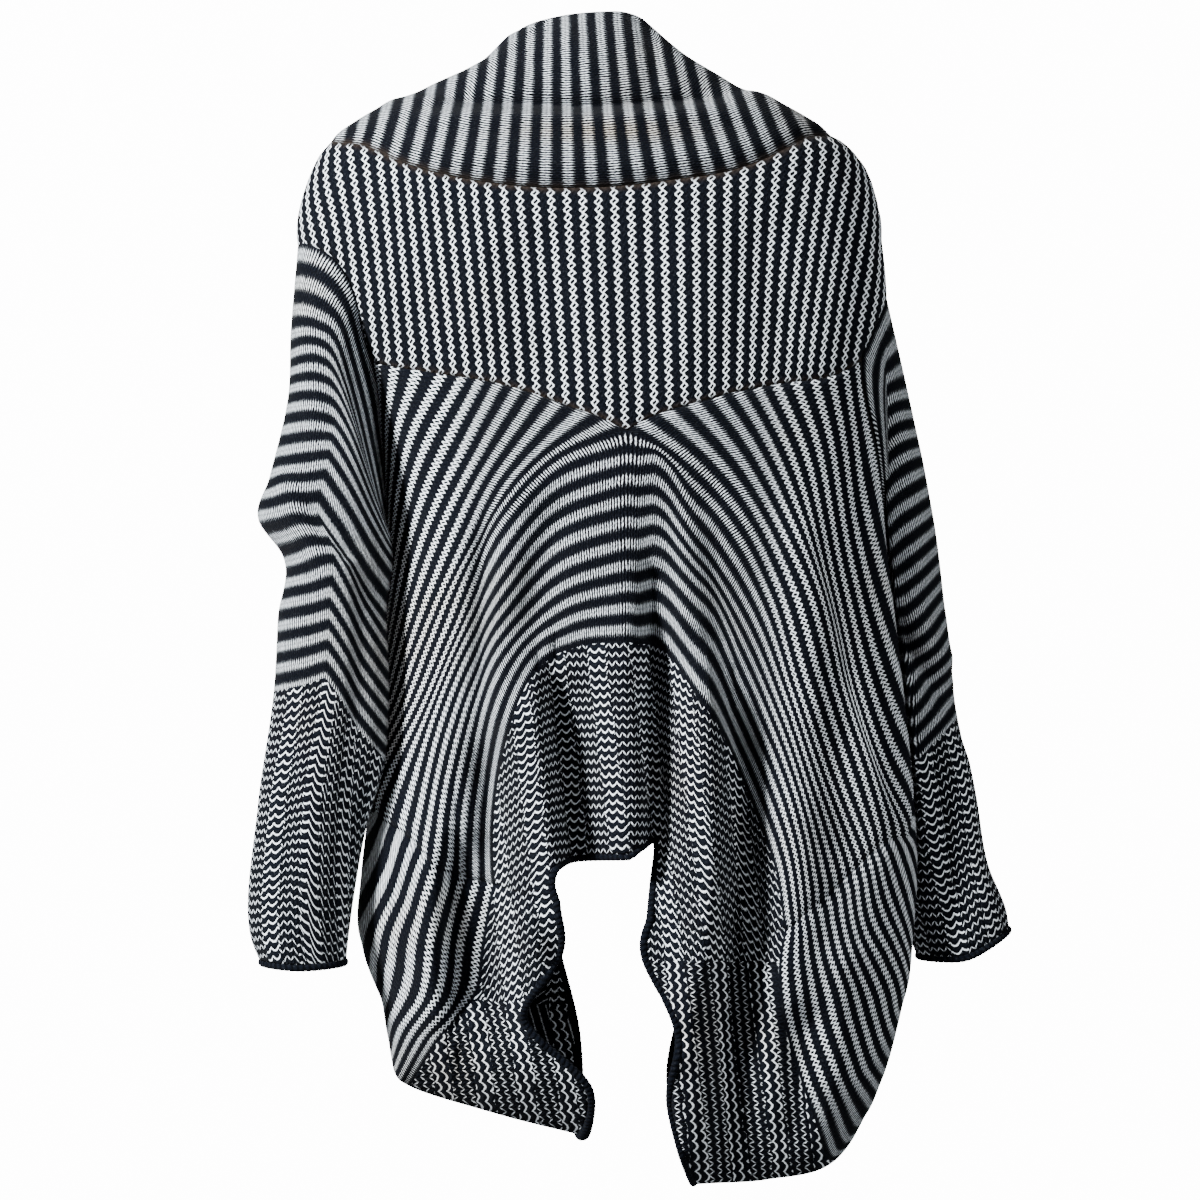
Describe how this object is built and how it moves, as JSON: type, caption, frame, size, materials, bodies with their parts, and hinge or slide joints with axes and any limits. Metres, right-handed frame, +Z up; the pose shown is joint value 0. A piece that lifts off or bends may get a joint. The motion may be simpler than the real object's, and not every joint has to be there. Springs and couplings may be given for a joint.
{
  "type": "open-front cardigan",
  "caption": "Open-front knitted cardigan, filled out and hollow, with a wide shawl collar, a pointed back yoke, striped sleeves and a dark rolled edge round the hem and fronts.",
  "frame": {"origin": "middle of the neck and shoulder line, where a wearer's neck and shoulders hold the garment up", "axes": "+Z up towards the wearer's head, -Y out of the garment's back, +Y out of its open front"},
  "size_m": [0.5733, 0.2256, 0.8822],
  "materials": {
    "yoke_knit": "matt wool knit",
    "lower_back_knit": "matt wool knit",
    "front_left_knit": "matt wool knit",
    "front_right_knit": "matt wool knit",
    "collar_knit": "matt wool knit",
    "sleeve_left_knit": "matt wool knit",
    "sleeve_right_knit": "matt wool knit",
    "dark_edge": "matt wool knit"
  },
  "bodies": {
    "root": {"back_yoke": "yoke_knit", "lower_back": "lower_back_knit", "front_left": "front_left_knit", "front_right": "front_right_knit", "collar": "collar_knit", "sleeve_left": "sleeve_left_knit", "sleeve_right": "sleeve_right_knit", "cuff_edge_left": "dark_edge", "cuff_edge_right": "dark_edge", "edge_binding": "dark_edge"}
  },
  "joints": []
}
